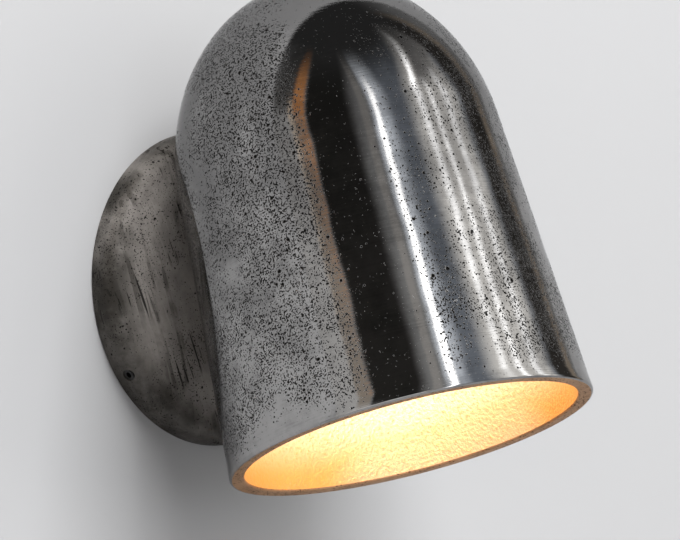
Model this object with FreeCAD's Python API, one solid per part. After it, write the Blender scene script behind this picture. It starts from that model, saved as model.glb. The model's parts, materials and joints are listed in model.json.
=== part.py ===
import FreeCAD, Part
import math
import os

# A cast wall downlight: a bullet-shaped shade that tilts on a round wall plate.
# Millimetres. The origin is the plate's centre on the wall, +Z is up and the room is at -Y.

# Shade
mouth_radius = 60.0
shoulder_radius = 53.4
body_height = 97.5
dome_height = 58.0
shade_wall = 5.0
rim_round = 0.8

# Wall plate
plate_radius = 52.5
plate_side = 4.2
plate_edge_round = 5.8
plate_crown = 1.2
plate_wall = 4.5
cavity_depth = 7.0

# Tilt: how far the shade leans out at rest, and where the arm meets it above the mouth
rest_tilt = 15.8
arm_height = 75.53
pivot_depth = 5.0

# Clearances
run_gap = 0.05
screw_gap = 0.05
loose_gap = 0.4

# Screw sizes, as radii, and common fastener forms
m3, m4, m10 = 1.5, 2.0, 5.0
m3_head_radius, m3_head_height = 2.75, 1.9
m4_head_radius, m4_head_height = 3.6, 2.2
driver_slot_width, driver_slot_depth = 0.9, 1.0

# Wall bracket
bracket_radius = 46.0
bracket_sheet = 2.0
bracket_rim = 6.6
wall_slot_half_span = 30.0
wall_slot_width = 4.5
wall_slot_length = 12.0
window_half_width, window_half_height = 14.0, 7.0
earth_across, earth_drop = 22.0, 22.0
earth_washer_radius, earth_washer_sheet = 4.4, 0.8

# Lead holes and bushes
lead_drop = 21.0
lead_hole_radius = 4.5
bush_bore = 3.2
bush_lip = 1.4
bush_lip_sheet = 1.2
grommet_radius = 6.0
grommet_bore = 4.0

# Side screws of the plate: angle below the horizontal and depth from the wall
side_screw_angle = 33.5
side_screw_depth = 5.6
side_screw_length = 6.0
side_socket_width, side_socket_depth = 2.0, 2.5

# Hinge
knuckle_radius = 4.4
knuckle_half_width = 5.0
ear_sheet = 2.0
ear_half_height = 5.5
ear_back = 3.4
flange_sheet = 1.5
flange_start, flange_end = 5.2, 15.0
hinge_screw_offset = 10.8
hinge_screw_grip = 3.0
friction_sheet, friction_radius = 0.5, 4.2
pin_nut_width, pin_nut_height, pin_tail = 7.0, 3.2, 1.0
pin_pocket_half_width, pin_pocket_depth = 13.0, 2.6
arm_slot_low, arm_slot_high = 6.0, 7.0
neck_half_height = 3.5
neck_length = 8.66
foot_sheet = 2.0
foot_half_width = 8.0
foot_low, foot_high = 8.0, 6.0

# Fixing of the shade on the arm: how far the flat bosses stand proud of its wall
outer_boss_proud = 1.71
inner_boss_proud = 4.4
inner_pad_half_width, inner_pad_half_height = 11.0, 14.0
pad_margin = 1.5
stud_bore = 3.0
stud_tail = 1.5
arm_washer_radius, arm_washer_sheet = 10.0, 1.5
arm_nut_width, arm_nut_height = 16.0, 5.0

# Strap and lampholder: the strap's height over the shade's shoulder, the rest below the strap
strap_above_shoulder = 8.5
strap_sheet = 2.0
strap_half_width = 9.0
strap_foot = 11.0
nipple_grip, nipple_tail, nipple_bore = 6.0, 5.0, 3.6
holder_nut_width, holder_nut_height = 14.0, 4.0
holder_radius, holder_height, holder_round = 14.0, 26.0, 1.5
well_below_strap = 7.4
shell_sheet, shell_lip = 0.6, 1.0
contact_sheet, contact_dimple, contact_radius = 0.6, 0.9, 2.2

# Connector and leads
block_near, block_far = 24.0, 38.0
block_half_width, block_height = 9.0, 15.5
pole_offset = 4.2
pole_bore = 1.6
pole_screw_inset = 3.5
pole_screw_sink = 0.5
lead_radius = 1.0
lead_over_nipple = 2.5
lead_bend = 6.0
lead_sweep = 24.0
lead_straight = 4.0
lead_in_block = 5.0
lead_spread = 1.5

# Lamp
cap_radius = 6.95
cap_length = 16.0
cap_below_well = 4.6
insulator_height, insulator_top, insulator_inset = 1.8, 3.4, 0.4
tip_radius, tip_gap = 2.4, 0.1
collar_rim = 1.2
collar_height = 11.0
globe_radius = 22.5
globe_sheet = 1.2
globe_neck_rise = 17.5

# Sizes that follow
side_slope = (mouth_radius - shoulder_radius) / body_height
outer_pad_radius = mouth_radius - side_slope * arm_height + outer_boss_proud
inner_pad_radius = mouth_radius - side_slope * arm_height - shade_wall - inner_boss_proud
arm_reach = outer_pad_radius + foot_sheet + neck_length
plate_flat_depth = plate_side + plate_edge_round
plate_flat_radius = plate_radius - plate_edge_round
plate_front = plate_flat_depth + plate_crown
cavity_radius = plate_radius - plate_wall
ear_inside = knuckle_half_width + friction_sheet + 2 * run_gap
ear_outside = ear_inside + ear_sheet
flange_back = flange_sheet - cavity_depth
strap_height = body_height + strap_above_shoulder
strap_top = strap_height + strap_sheet
nipple_low = strap_height - nipple_grip
nipple_top = strap_top + nipple_tail
holder_low = strap_height - holder_height
well_top = strap_height - well_below_strap
lamp_cap_high = well_top - cap_below_well
lamp_cap_low = lamp_cap_high - cap_length
neck_height = lamp_cap_low - collar_height
neck_radius = math.sqrt(globe_radius ** 2 - globe_neck_rise ** 2)
globe_centre = neck_height - globe_neck_rise
shell_inner = cap_radius + run_gap
block_top = strap_top + block_height
lead_level = nipple_top + lead_over_nipple
pole_screw_places = (block_near + pole_screw_inset, block_far - pole_screw_inset)
lead_height = arm_height - lead_drop
leg_front = inner_pad_radius - strap_sheet
axis_x = FreeCAD.Vector(1, 0, 0)
axis_y = FreeCAD.Vector(0, 1, 0)
axis_z = FreeCAD.Vector(0, 0, 1)


def vec(x, y, z):
    return FreeCAD.Vector(x, y, z)


def box(x0, x1, y0, y1, z0, z1):
    return Part.makeBox(x1 - x0, y1 - y0, z1 - z0, vec(x0, y0, z0))


def rod(radius, start, end):
    """A cylinder from one point to another."""
    along = end.sub(start)
    return Part.makeCylinder(radius, along.Length, start, along)


def tube(outer, inner, start, end):
    return rod(outer, start, end).cut(rod(inner, start, end))


def upright(radius, low, high):
    """A cylinder on the Z axis."""
    return rod(radius, vec(0, 0, low), vec(0, 0, high))


def hexagon(across_flats, bore, start, end):
    """A hexagonal prism between two points, with a plain bore if one is given."""
    along = end.sub(start)
    corner = across_flats / 2 / math.cos(math.pi / 6)
    turns = [math.radians(60 * k) for k in range(7)]
    points = [vec(corner * math.cos(t), corner * math.sin(t), 0) for t in turns]
    prism = Part.Face(Part.makePolygon(points)).extrude(vec(0, 0, along.Length))
    prism.Placement = FreeCAD.Placement(start, FreeCAD.Rotation(axis_z, along))
    return prism.cut(rod(bore, start, end)) if bore else prism


def arc(start, middle, end):
    return Part.Arc(start, middle, end).toShape()


def line(start, end):
    return Part.LineSegment(start, end).toShape()


def revolved(edges, axis):
    return Part.Face(Part.Wire(edges)).revolve(vec(0, 0, 0), axis, 360)


def join(shapes):
    """One shape of separate solids, such as a set of equal screws."""
    return Part.makeCompound(shapes)


def at_pivot(shape):
    """Move a shape from the arm's frame (pivot at the origin, arm along -Y) to its place."""
    moved = shape.copy()
    moved.rotate(vec(0, 0, 0), axis_x, -rest_tilt)
    moved.translate(vec(0, -pivot_depth, 0))
    return moved


def in_head(shape):
    """Move a shape from the shade's frame (axis on Z, mouth at 0, wall towards +Y) to its place."""
    moved = shape.copy()
    moved.translate(vec(0, -arm_reach, -arm_height))
    return at_pivot(moved)


# The wall plate and what is behind it


def bracket():
    """Steel pan on the wall: slots for the wall screws, and a rim that the side screws clamp."""
    face = -bracket_sheet
    disc = rod(bracket_radius, vec(0, face, 0), vec(0, 0, 0))
    rim = tube(bracket_radius, bracket_radius - bracket_sheet, vec(0, -bracket_rim, 0), vec(0, face, 0))
    pan = disc.fuse(rim)
    half_run = (wall_slot_length - wall_slot_width) / 2
    half_width = wall_slot_width / 2
    for side in (-1, 1):
        middle = side * wall_slot_half_span
        for x in (middle - half_run, middle + half_run):
            pan = pan.cut(rod(half_width, vec(x, face, 0), vec(x, 0, 0)))
        pan = pan.cut(box(middle - half_run, middle + half_run, face, 0, -half_width, half_width))
    window = box(-window_half_width, window_half_width, face, 0, -window_half_height, window_half_height)
    cable_hole = rod(grommet_radius + run_gap, vec(0, face, -lead_drop), vec(0, 0, -lead_drop))
    earth_point = vec(-earth_across, 0, -earth_drop)
    earth_hole = rod(m4 + screw_gap, earth_point.add(vec(0, face, 0)), earth_point)
    return pan.cut([window, cable_hole, earth_hole]).removeSplitter()


def grommet():
    """Rubber bush in the bracket, with a lip on the inside."""
    lip_face = -bracket_sheet - bush_lip_sheet
    sleeve = rod(grommet_radius, vec(0, -bracket_sheet, -lead_drop), vec(0, 0, -lead_drop))
    lip = rod(grommet_radius + bush_lip, vec(0, lip_face, -lead_drop), vec(0, -bracket_sheet, -lead_drop))
    bore = rod(grommet_bore, vec(0, lip_face, -lead_drop), vec(0, 0, -lead_drop))
    return sleeve.fuse(lip).cut(bore).removeSplitter()


def earth_screw():
    """Slotted screw over the earth washer, short of the wall."""
    x, z = -earth_across, -earth_drop
    seat = -bracket_sheet - earth_washer_sheet
    face = seat - m4_head_height
    shank = rod(m4, vec(x, seat, z), vec(x, -loose_gap, z))
    head = rod(m4_head_radius, vec(x, face, z), vec(x, seat, z))
    half = driver_slot_width / 2
    slot = box(x - m4_head_radius, x + m4_head_radius, face, face + driver_slot_depth, z - half, z + half)
    return shank.fuse(head).cut(slot).removeSplitter()


def earth_washer():
    x, z = -earth_across, -earth_drop
    seat = -bracket_sheet - earth_washer_sheet
    return tube(earth_washer_radius, m4 + screw_gap, vec(x, seat, z), vec(x, -bracket_sheet, z))


def side_point(side, distance):
    """Point on the line of a side screw, at a distance from the plate's axis."""
    angle = math.radians(side_screw_angle)
    return vec(side * math.cos(angle) * distance, -side_screw_depth, -math.sin(angle) * distance)


def plate():
    """Cast plate: upright side, rounded edge, slightly crowned front, hollow at the back."""
    diagonal = plate_edge_round * math.sin(math.pi / 4)
    edge_mid = vec(plate_flat_radius + diagonal, -plate_side - diagonal, 0)
    crown_mid = vec(plate_flat_radius / 2, -plate_flat_depth - 0.75 * plate_crown, 0)
    side_top = vec(plate_radius, -plate_side, 0)
    edge_end = vec(plate_flat_radius, -plate_flat_depth, 0)
    centre = vec(0, -plate_front, 0)
    body = revolved([
        line(vec(0, 0, 0), vec(plate_radius, 0, 0)),
        line(vec(plate_radius, 0, 0), side_top),
        arc(side_top, edge_mid, edge_end),
        arc(edge_end, crown_mid, centre),
        line(centre, vec(0, 0, 0)),
    ], axis_y)
    slot_side = ear_outside + loose_gap
    pocket = pin_pocket_half_width
    pocket_height = m4_head_radius + 2 * loose_gap
    cuts = [
        rod(cavity_radius, vec(0, -cavity_depth, 0), vec(0, 0, 0)),
        box(-slot_side, slot_side, -plate_front, 0, -arm_slot_low, arm_slot_high),
        box(-pocket, pocket, -cavity_depth - pin_pocket_depth, 0, -pocket_height, pocket_height),
        rod(lead_hole_radius, vec(0, -plate_front, -lead_drop), vec(0, 0, -lead_drop)),
    ]
    for side in (-1, 1):
        inner_end = side_point(side, bracket_radius - loose_gap)
        outer_end = side_point(side, plate_radius + loose_gap)
        cuts.append(rod(m4 + screw_gap, inner_end, outer_end))
        z = side * hinge_screw_offset
        floor = -cavity_depth - hinge_screw_grip - loose_gap
        cuts.append(rod(m3 + screw_gap, vec(0, floor, z), vec(0, -cavity_depth, z)))
    return body.cut(cuts).removeSplitter()


def plate_bush():
    """Insulating bush in the plate's lead hole."""
    lip_face = bush_lip_sheet - cavity_depth
    sleeve_end = loose_gap - plate_front
    sleeve = rod(lead_hole_radius - run_gap, vec(0, sleeve_end, -lead_drop), vec(0, lip_face, -lead_drop))
    lip = rod(lead_hole_radius + bush_lip, vec(0, -cavity_depth, -lead_drop), vec(0, lip_face, -lead_drop))
    bore = rod(bush_bore, vec(0, sleeve_end, -lead_drop), vec(0, lip_face, -lead_drop))
    return sleeve.fuse(lip).cut(bore).removeSplitter()


def grub_screw(side):
    """Socket set screw from the plate's side to the bracket's rim."""
    end = side_point(side, bracket_radius + side_screw_length)
    socket_floor = side_point(side, bracket_radius + side_screw_length - side_socket_depth)
    screw = rod(m4, side_point(side, bracket_radius), end)
    return screw.cut(hexagon(side_socket_width, 0, socket_floor, end))


def hinge_bracket():
    """Two ears joined by an upper and a lower flange that are screwed behind the plate."""
    low, high = -pivot_depth - knuckle_radius, -pivot_depth + ear_back
    ears = [
        box(x0, x1, low, high, -ear_half_height, ear_half_height)
        for x0, x1 in ((-ear_outside, -ear_inside), (ear_inside, ear_outside))
    ]
    flanges = [
        box(-ear_outside, ear_outside, -cavity_depth, flange_back, z0, z1)
        for z0, z1 in ((flange_start, flange_end), (-flange_end, -flange_start))
    ]
    cuts = [rod(m4 + run_gap, vec(-ear_outside, -pivot_depth, 0), vec(ear_outside, -pivot_depth, 0))]
    for z in (-hinge_screw_offset, hinge_screw_offset):
        cuts.append(rod(m3 + screw_gap, vec(0, -cavity_depth, z), vec(0, flange_back, z)))
    return ears[0].fuse(ears[1:] + flanges).cut(cuts).removeSplitter()


def hinge_screw(z):
    face = flange_back + m3_head_height
    shank = rod(m3, vec(0, -cavity_depth - hinge_screw_grip, z), vec(0, flange_back, z))
    head = rod(m3_head_radius, vec(0, flange_back, z), vec(0, face, z))
    half = driver_slot_width / 2
    slot = box(-m3_head_radius, m3_head_radius, face - driver_slot_depth, face, z - half, z + half)
    return shank.fuse(head).cut(slot).removeSplitter()


def hinge_pin():
    """Tilt axis with a flat head at one end."""
    tail = ear_outside + pin_nut_height + pin_tail
    shank = rod(m4, vec(-ear_outside, -pivot_depth, 0), vec(tail, -pivot_depth, 0))
    head_face = -ear_outside - m4_head_height
    head = rod(m4_head_radius, vec(head_face, -pivot_depth, 0), vec(-ear_outside, -pivot_depth, 0))
    return shank.fuse(head).removeSplitter()


def pin_nut():
    start = vec(ear_outside, -pivot_depth, 0)
    end = vec(ear_outside + pin_nut_height, -pivot_depth, 0)
    return hexagon(pin_nut_width, m4 + screw_gap, start, end)


def friction_washer(side):
    near = vec(side * (knuckle_half_width + run_gap), -pivot_depth, 0)
    far = vec(side * (knuckle_half_width + run_gap + friction_sheet), -pivot_depth, 0)
    return tube(friction_radius, m4 + screw_gap, near, far)


# The head, in the shade's frame unless it is the arm


def bullet(inset):
    """Solid of revolution of the shade's outline, moved inwards by a wall thickness."""
    draft = math.atan(side_slope)
    low = vec(mouth_radius - inset / math.cos(draft), 0, 0)
    shoulder = vec(shoulder_radius - inset * math.cos(draft), 0, body_height - inset * math.sin(draft))
    top = body_height + dome_height - inset
    rise = top - shoulder.z
    # The dome is an ellipse that leaves the drafted side without a kink: its start angle soon settles.
    start = draft
    for _ in range(20):
        across = shoulder.x / math.cos(start)
        upward = rise / (1 - math.sin(start))
        start = math.atan(upward / across * math.tan(draft))
    centre = vec(0, 0, top - upward)
    side_end = vec(across, 0, centre.z)
    top_end = vec(0, 0, top)
    first, second = (top_end, side_end) if upward > across else (side_end, top_end)
    ellipse = Part.Ellipse(first, second, centre)
    ends = sorted((ellipse.parameter(shoulder), ellipse.parameter(top_end)))
    if ends[1] - ends[0] > math.pi:
        ends = [ends[1], ends[0] + 2 * math.pi]
    dome = Part.ArcOfEllipse(ellipse, *ends).toShape()
    side_join, dome_top = sorted((vertex.Point for vertex in dome.Vertexes), key=lambda point: point.z)
    axis_low = vec(0, 0, 0)
    edges = [line(axis_low, low), line(low, side_join), dome, line(dome_top, axis_low)]
    return revolved(Part.__sortEdges__(edges), axis_z)


def shade():
    """Cast shell with flat bosses at the back where the arm is bolted on."""
    pad_side = foot_half_width + pad_margin
    outer_pad = box(
        -pad_side, pad_side, inner_pad_radius, outer_pad_radius,
        arm_height - foot_low - pad_margin, arm_height + foot_high + pad_margin,
    )
    inner_pad = box(
        -inner_pad_half_width, inner_pad_half_width, inner_pad_radius, outer_pad_radius,
        arm_height - inner_pad_half_height, arm_height + inner_pad_half_height,
    )
    hollow = bullet(shade_wall).cut(inner_pad)
    bolt_bore = rod(m10 + 2 * run_gap, vec(0, 0, arm_height), vec(0, 2 * mouth_radius, arm_height))
    lead_bore = rod(lead_hole_radius, vec(0, 0, lead_height), vec(0, 2 * mouth_radius, lead_height))
    shell = bullet(0).fuse(outer_pad).cut([hollow, bolt_bore, lead_bore]).removeSplitter()
    rim_edges = [
        edge for edge in shell.Edges
        if edge.BoundBox.ZMax < run_gap and edge.BoundBox.XLength > mouth_radius
    ]
    return shell.makeFillet(rim_round, rim_edges)


def tilt_arm():
    """Knuckle on the pin, neck, foot against the shade and hollow stud through its wall."""
    foot_front = outer_pad_radius - arm_reach
    foot_back = foot_front + foot_sheet
    stud_end = leg_front - arm_washer_sheet - arm_nut_height - stud_tail - arm_reach
    half = knuckle_half_width
    knuckle = rod(knuckle_radius, vec(-half, 0, 0), vec(half, 0, 0))
    neck = box(-half, half, foot_back, 0, -neck_half_height, neck_half_height)
    foot = box(-foot_half_width, foot_half_width, foot_front, foot_back, -foot_low, foot_high)
    stud = rod(m10, vec(0, foot_front, 0), vec(0, stud_end, 0))
    pin_bore = rod(m4 + run_gap, vec(-half, 0, 0), vec(half, 0, 0))
    hollow = rod(stud_bore, vec(0, foot_front, 0), vec(0, stud_end, 0))
    return knuckle.fuse([neck, foot, stud]).cut([pin_bore, hollow]).removeSplitter()


def arm_washer():
    face = leg_front - arm_washer_sheet
    return tube(arm_washer_radius, m10 + screw_gap, vec(0, face, arm_height), vec(0, leg_front, arm_height))


def arm_nut():
    face = leg_front - arm_washer_sheet
    start = vec(0, face - arm_nut_height, arm_height)
    return hexagon(arm_nut_width, m10 + screw_gap, start, vec(0, face, arm_height))


def lead_bush():
    """Insulating bush in the shade's lead hole, with a lip inside the wall."""
    outside = mouth_radius - side_slope * lead_height
    inside = outside - shade_wall
    lip_seat = inside - bush_lip
    lip_face = lip_seat - bush_lip_sheet
    sleeve = rod(lead_hole_radius - run_gap, vec(0, lip_seat, lead_height), vec(0, outside, lead_height))
    lip = rod(lead_hole_radius + bush_lip, vec(0, lip_face, lead_height), vec(0, lip_seat, lead_height))
    bore = rod(bush_bore, vec(0, lip_face, lead_height), vec(0, outside, lead_height))
    return sleeve.fuse(lip).cut(bore).removeSplitter()


def holder_bracket():
    """Strap clamped by the stud's nut, bent over to the shade's axis."""
    half = strap_half_width
    leg = box(-half, half, leg_front, inner_pad_radius, arm_height - strap_foot, strap_top)
    tongue = box(-half, half, 0, inner_pad_radius, strap_height, strap_top)
    nose = upright(half, strap_height, strap_top)
    stud_hole = rod(m10 + screw_gap, vec(0, leg_front, arm_height), vec(0, inner_pad_radius, arm_height))
    nipple_hole = upright(m10 + screw_gap, strap_height, strap_top)
    return leg.fuse([tongue, nose]).cut([stud_hole, nipple_hole]).removeSplitter()


def holder_nipple():
    return upright(m10, nipple_low, nipple_top).cut(upright(nipple_bore, nipple_low, nipple_top))


def holder_nut():
    start = vec(0, 0, strap_top)
    return hexagon(holder_nut_width, m10 + screw_gap, start, vec(0, 0, strap_top + holder_nut_height))


def lampholder_body():
    """Moulded body: a threaded neck at the top and the lamp's well below."""
    well_radius = shell_inner + shell_sheet + screw_gap
    body = upright(holder_radius, holder_low, strap_height).cut([
        upright(well_radius, holder_low, well_top),
        upright(m10 + screw_gap, nipple_low, strap_height),
        upright(nipple_bore, well_top, nipple_low),
    ])
    low_edges = [
        edge for edge in body.Edges
        if edge.BoundBox.ZMax < holder_low + run_gap and edge.BoundBox.XLength > holder_radius + well_radius
    ]
    return body.makeFillet(holder_round, low_edges)


def lampholder_shell():
    """Metal sleeve in which the lamp's cap turns."""
    low, high = holder_low + shell_lip, lamp_cap_high + loose_gap
    return upright(shell_inner + shell_sheet, low, high).cut(upright(shell_inner, low, high))


def lampholder_contact():
    """Sprung disc at the bottom of the well, with a dimple towards the lamp."""
    disc_low = well_top - contact_sheet
    disc_radius = shell_inner + shell_sheet
    disc = upright(disc_radius, disc_low, well_top)
    dimple = upright(contact_radius, disc_low - contact_dimple, disc_low)
    slot = box(contact_radius + loose_gap, disc_radius, -contact_radius, contact_radius, disc_low, well_top)
    return disc.fuse(dimple).cut(slot).removeSplitter()


def terminal_block():
    """Two-pole connector on the strap: a lead hole through each pole and screw wells above."""
    block = box(-block_half_width, block_half_width, block_near, block_far, strap_top, block_top)
    cuts = []
    for x in (-pole_offset, pole_offset):
        cuts.append(rod(pole_bore, vec(x, block_near, lead_level), vec(x, block_far, lead_level)))
        for y in pole_screw_places:
            cuts.append(rod(m3 + screw_gap, vec(x, y, lead_level), vec(x, y, block_top)))
    return block.cut(cuts).removeSplitter()


def terminal_screw(x, y):
    low = lead_level + lead_radius + loose_gap
    high = block_top - pole_screw_sink
    half = driver_slot_width / 2
    slot = box(x - m3, x + m3, y - half, y + half, high - driver_slot_depth, high)
    return rod(m3, vec(x, y, low), vec(x, y, high)).cut(slot)


def holder_lead(side):
    """Insulated lead from a pole of the connector, over and down into the nipple."""
    inwards = vec(0, -1, 0)
    start = vec(side * pole_offset, block_near + lead_in_block, lead_level)
    corner = vec(side * pole_offset, block_near - lead_straight, lead_level)
    over = vec(side * lead_spread, lead_bend, lead_level)
    slant = over.sub(corner).normalize()
    # The sideways bend is an arc of radius lead_sweep that touches both straight runs.
    half_turn = slant.getAngle(inwards) / 2
    ease = lead_sweep * math.tan(half_turn)
    first = corner.sub(inwards * ease)
    second = corner.add(slant * ease)
    to_middle = first.add(second).multiply(0.5).sub(corner).normalize()
    middle = corner.add(to_middle * (lead_sweep / math.cos(half_turn) - lead_sweep))
    eighth = math.pi / 4
    sag = over.add(slant * (lead_bend * math.sin(eighth))).sub(axis_z * (lead_bend * (1 - math.cos(eighth))))
    sink = over.add(slant * lead_bend).sub(axis_z * lead_bend)
    foot = vec(sink.x, sink.y, nipple_low + shell_lip)
    path = Part.Wire([
        line(start, first),
        arc(first, middle, second),
        line(second, over),
        arc(over, sag, sink),
        line(sink, foot),
    ])
    section = Part.Wire(Part.Circle(start, inwards, lead_radius).toShape())
    return path.makePipeShell([section], True, False)


def lamp_globe():
    """Opal ball, open at the neck."""
    centre = vec(0, 0, globe_centre)
    ball = Part.makeSphere(globe_radius, centre).cut(Part.makeSphere(globe_radius - globe_sheet, centre))
    return ball.cut(upright(globe_radius, neck_height, neck_height + globe_radius))


def lamp_collar():
    """Tapered neck between the ball and the cap."""
    top_radius = cap_radius + collar_rim
    return Part.makeCone(neck_radius, top_radius, collar_height, vec(0, 0, neck_height))


def lamp_cap():
    return upright(cap_radius, lamp_cap_low, lamp_cap_high)


def lamp_insulator():
    low_radius = cap_radius - insulator_inset
    return Part.makeCone(low_radius, insulator_top, insulator_height, vec(0, 0, lamp_cap_high))


def lamp_tip():
    low = lamp_cap_high + insulator_height
    return upright(tip_radius, low, well_top - contact_sheet - contact_dimple - tip_gap)


sides = (-1, 1)
pole_screws = [terminal_screw(side * pole_offset, y) for side in sides for y in pole_screw_places]
plate_nodes = {
    "wall_bracket": bracket(),
    "cable_grommet": grommet(),
    "earth_screw": earth_screw(),
    "earth_washer": earth_washer(),
    "wall_plate": plate(),
    "plate_bush": plate_bush(),
    "grub_screws": join([grub_screw(side) for side in sides]),
    "hinge_bracket": hinge_bracket(),
    "hinge_screws": join([hinge_screw(side * hinge_screw_offset) for side in sides]),
    "hinge_pin": hinge_pin(),
    "pin_nut": pin_nut(),
    "friction_washers": join([friction_washer(side) for side in sides]),
}
shade_nodes = {
    "shade": shade(),
    "arm_washer": arm_washer(),
    "arm_nut": arm_nut(),
    "lead_bush": lead_bush(),
    "holder_bracket": holder_bracket(),
    "holder_nipple": holder_nipple(),
    "holder_nut": holder_nut(),
    "lampholder_body": lampholder_body(),
    "lampholder_shell": lampholder_shell(),
    "lampholder_contact": lampholder_contact(),
    "terminal_block": terminal_block(),
    "terminal_screws": join(pole_screws),
    "holder_leads": join([holder_lead(side) for side in sides]),
    "lamp_globe": lamp_globe(),
    "lamp_collar": lamp_collar(),
    "lamp_cap": lamp_cap(),
    "lamp_insulator": lamp_insulator(),
    "lamp_tip": lamp_tip(),
}
nodes = dict(plate_nodes)
nodes["tilt_arm"] = at_pivot(tilt_arm())
for name, shape in shade_nodes.items():
    nodes[name] = in_head(shape)

os.makedirs("parts", exist_ok=True)
for name, shape in nodes.items():
    shape.exportStep("parts/" + name + ".step")
    print(name, "valid", shape.isValid(), "solids", len(shape.Solids), "volume", round(shape.Volume, 1))
print("arm reach", round(arm_reach, 2), "lamp cap from", lamp_cap_low, "to", lamp_cap_high)
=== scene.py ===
# %% [markdown]
# # A cast wall downlight
# The light is a thick shade of cast aluminium that leans out from a round wall plate. Its wall bracket,
# hinge, lampholder and lamp come ready made from the CAD model. In this lesson the two castings get a smooth
# skin, every piece gets its finish, and a wall, soft light and a camera are set around them.

# %% Load the frame
import bmesh
import bpy
import json
import math
from mathutils import Matrix, Vector


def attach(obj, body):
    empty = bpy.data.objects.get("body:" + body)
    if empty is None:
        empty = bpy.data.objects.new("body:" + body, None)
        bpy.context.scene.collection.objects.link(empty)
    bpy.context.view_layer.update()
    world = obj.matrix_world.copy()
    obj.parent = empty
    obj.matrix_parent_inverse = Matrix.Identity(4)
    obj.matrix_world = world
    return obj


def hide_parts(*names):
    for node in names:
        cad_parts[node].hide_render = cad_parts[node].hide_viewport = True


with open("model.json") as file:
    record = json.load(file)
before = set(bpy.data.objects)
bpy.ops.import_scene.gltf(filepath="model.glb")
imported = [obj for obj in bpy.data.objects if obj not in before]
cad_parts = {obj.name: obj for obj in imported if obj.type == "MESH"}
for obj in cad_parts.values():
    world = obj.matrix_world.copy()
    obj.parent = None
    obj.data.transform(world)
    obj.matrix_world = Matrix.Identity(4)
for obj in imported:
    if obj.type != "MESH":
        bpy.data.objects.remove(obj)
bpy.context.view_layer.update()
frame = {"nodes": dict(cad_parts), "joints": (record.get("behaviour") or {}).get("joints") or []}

# %% [markdown]
# ## The shade's own frame
# The shade stands askew, which makes it awkward to model in place. It could be leaned over by eye, but the
# lamp turns about the shade's axis, so the lamp's joint gives that axis exactly. A frame with Z on the axis,
# the mouth at zero and Y towards the wall lets the shade be turned upright, like a pot on a wheel, and then
# set down in its lean with one matrix.

# %% Set up the shade's frame
MM = 0.001
joints = {joint["name"]: joint for joint in frame["joints"]}
lamp_height = 86 * MM
shade_up = Vector(joints["lamp_turn"]["axis"]).normalized()
mouth_centre = Vector(joints["lamp_turn"]["pos_m"]) - lamp_height * shade_up
shade_across = Vector((1, 0, 0))
shade_wallward = shade_up.cross(shade_across)
shade_turn = Matrix((shade_across, shade_wallward, shade_up)).transposed().to_4x4()
shade_frame = Matrix.Translation(mouth_centre) @ shade_turn
print("mouth centre:", [round(v, 4) for v in mouth_centre])

# %% [markdown]
# ## Turning a profile
# Both castings are round, so each is a profile turned about an axis. The CAD shapes could be shown as they
# are, but a turned mesh has even rings and long smooth faces, and reflections run over it without the small
# kinks of a CAD triangulation. Each profile point carries the finish of the stretch that starts there.

# %% A lathe
AROUND = 224
ON_AXIS = 1e-6


def to_object(name, form):
    """New object of the scene with a form as its mesh."""
    mesh = bpy.data.meshes.new(name)
    form.to_mesh(mesh)
    form.free()
    piece = bpy.data.objects.new(name, mesh)
    bpy.context.scene.collection.objects.link(piece)
    return piece


def ring(form, radius, height):
    """Vertices of one turn about Z, or the single one on the axis."""
    if radius < ON_AXIS:
        return [form.verts.new((0, 0, height))]
    turns = [2 * math.pi * k / AROUND for k in range(AROUND)]
    return [form.verts.new((radius * math.cos(t), radius * math.sin(t), height)) for t in turns]


def turned(name, profile, finishes):
    """Object from (radius, height, finish index) points, turned about Z."""
    form = bmesh.new()
    rings = [ring(form, radius, height) for radius, height, _ in profile]
    for lower, upper, (_, _, finish) in zip(rings, rings[1:], profile):
        for k in range(AROUND):
            after = (k + 1) % AROUND
            ends = [(lower, k), (lower, after), (upper, after), (upper, k)]
            corners = [row[turn % len(row)] for row, turn in ends]
            face = form.faces.new(list(dict.fromkeys(corners)))
            face.material_index = finish
            face.smooth = True
    bmesh.ops.recalc_face_normals(form, faces=form.faces)
    piece = to_object(name, form)
    for finish in finishes:
        piece.data.materials.append(finish)
    return piece


print("lathe with", AROUND, "faces around")

# %% [markdown]
# A casting also has flat bosses and holes. They could be woven into the mesh point by point, but joining and
# cutting them afterwards is simpler to read, and it leaves the turned faces around them as they are.

# %% Boxes, bars and cuts
BAR_SIDES = 48


def block(low, high):
    """Function that adds a box between two corners."""
    low, high = Vector(low), Vector(high)

    def make(form):
        place = Matrix.Translation((low + high) / 2) @ Matrix.Diagonal((*(high - low), 1))
        bmesh.ops.create_cube(form, size=1, matrix=place)

    return make


def bar(radius, start, end):
    """Function that adds a cylinder between two points."""
    start, end = Vector(start), Vector(end)
    along = end - start

    def make(form):
        turn = along.to_track_quat("Z", "Y").to_matrix().to_4x4()
        bmesh.ops.create_cone(
            form, cap_ends=True, segments=BAR_SIDES, radius1=radius, radius2=radius, depth=along.length,
            matrix=Matrix.Translation((start + end) / 2) @ turn,
        )

    return make


def carve(piece, make, operation="DIFFERENCE", finish=0):
    """Cut a helper form out of a piece, or join it on, and keep the result as its mesh."""
    form = bmesh.new()
    make(form)
    tool = to_object("carving_tool", form)
    for face in tool.data.polygons:
        face.material_index = finish
    modifier = piece.modifiers.new("carve", "BOOLEAN")
    modifier.object = tool
    modifier.operation = operation
    modifier.solver = "EXACT"
    bpy.context.view_layer.update()
    evaluated = piece.evaluated_get(bpy.context.evaluated_depsgraph_get())
    result = bpy.data.meshes.new_from_object(evaluated)
    piece.modifiers.remove(modifier)
    piece.data = result
    bpy.data.objects.remove(tool)


print("bars with", BAR_SIDES, "sides")

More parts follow.
